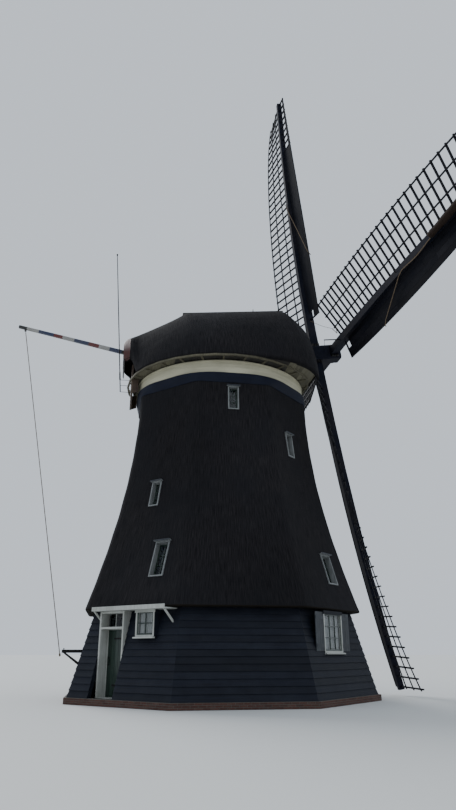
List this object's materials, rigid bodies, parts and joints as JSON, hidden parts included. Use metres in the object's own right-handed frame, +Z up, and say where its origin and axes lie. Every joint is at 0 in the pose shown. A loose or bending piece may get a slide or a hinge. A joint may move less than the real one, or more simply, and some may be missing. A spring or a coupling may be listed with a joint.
{
  "type": "thatched polder windmill",
  "caption": "Octagonal thatched windmill on a boarded storey, with a turning cap, twisted lattice sails, brake lever and windows.",
  "frame": {"origin": "on the ground at the tower's upright axis", "axes": "+Z up; -Y is the front, to which the sails face; +X is the mill's left side seen from behind the sails"},
  "size_m": [26.1172, 14.6766, 26.036],
  "materials": {
    "brick": "rough fired brick",
    "floor_planks": "worn planks",
    "tarred_boards": "tarred lapped boards",
    "white_paint": "white oil paint",
    "window_glass": "clear",
    "grey_paint": "weathered grey paint",
    "green_paint": "dark green gloss paint",
    "iron": "black painted iron",
    "thatch": "weathered reed",
    "cream_paint": "cream oil paint",
    "oak": "rough oak",
    "bearing_stone": "dressed stone",
    "dark_timber": "dark painted timber",
    "red_paint": "dark red oil paint",
    "blue_black_paint": "blue-black gloss paint",
    "wind_board_paint": "dark grey paint",
    "lever_paint": "banded oil paint",
    "rope": "laid hemp"
  },
  "bodies": {
    "tower": {"brick_footing": "brick", "ground_floor": "floor_planks", "plain_walls": "tarred_boards", "wall_front_left": "tarred_boards", "wall_front_right": "tarred_boards", "wall_rear_left": "tarred_boards", "wall_rear_right": "tarred_boards", "wall_rear_right_beside_door": "tarred_boards", "wall_over_door": "tarred_boards", "doorcase": "white_paint", "ground_window_frames": "white_paint", "ground_window_glass": "window_glass", "shutters": "grey_paint", "canopy": "white_paint", "rope_bracket": "iron", "thatch_front_and_rear": "thatch", "thatch_left_and_right": "thatch", "thatch_front_corners": "thatch", "thatch_rear_corners": "thatch", "thatch_window_frames": "white_paint", "thatch_window_glass": "window_glass", "upper_floors": "floor_planks", "curb_ring": "cream_paint"},
    "entrance_door": {"door": "green_paint"},
    "cap": {"cap_ring": "oak", "soffit": "cream_paint", "cap_sheers": "oak", "breast_beam": "oak", "neck_bearing": "bearing_stone", "tail_beam": "oak", "cap_thatch_left": "thatch", "cap_thatch_right": "thatch", "ridge_board": "dark_timber", "front_gable": "dark_timber", "rear_gable": "red_paint", "hanging_board": "cream_paint", "lever_trestle": "oak", "lightning_rod": "iron"},
    "sails": {"windshaft": "oak", "poll_end": "iron", "inner_stock": "blue_black_paint", "outer_stock": "blue_black_paint", "sail_lattice_1": "dark_timber", "sail_lattice_2": "dark_timber", "sail_lattice_3": "dark_timber", "sail_lattice_4": "dark_timber", "wind_boards_1": "wind_board_paint", "wind_boards_2": "wind_board_paint", "wind_boards_3": "wind_board_paint", "wind_boards_4": "wind_board_paint"},
    "brake_lever_arm": {"brake_lever": "lever_paint"},
    "brake_pull_rope": {"brake_rope": "rope"}
  },
  "joints": [
    {"name": "cap_yaw", "type": "hinge", "parent": "tower", "child": "cap", "pos_m": [0, 0, 11], "axis": [0, 0, 1], "continuous": true},
    {"name": "sail_rotation", "type": "hinge", "parent": "cap", "child": "sails", "pos_m": [0, -4.376, 13.06], "axis": [0, -0.9888, 0.1495], "continuous": true},
    {"name": "brake_lever_pivot", "type": "hinge", "parent": "cap", "child": "brake_lever_arm", "pos_m": [0, 3.3, 12.39], "axis": [1, 0, 0], "range_deg": [-9, 0]},
    {"name": "brake_rope_eye", "type": "hinge", "parent": "brake_lever_arm", "child": "brake_pull_rope", "pos_m": [0, 7.65842, 13.14216], "axis": [1, 0, 0], "range_deg": [0, 9]},
    {"name": "entrance_door_hinge", "type": "hinge", "parent": "tower", "child": "entrance_door", "pos_m": [-2.7796, 3.0639, 1.1], "axis": [0, 0, 1], "range_deg": [-100, 0]}
  ],
  "couplings": [
    {"joint": "brake_rope_eye", "follows": "brake_lever_pivot", "ratio": -1}
  ]
}
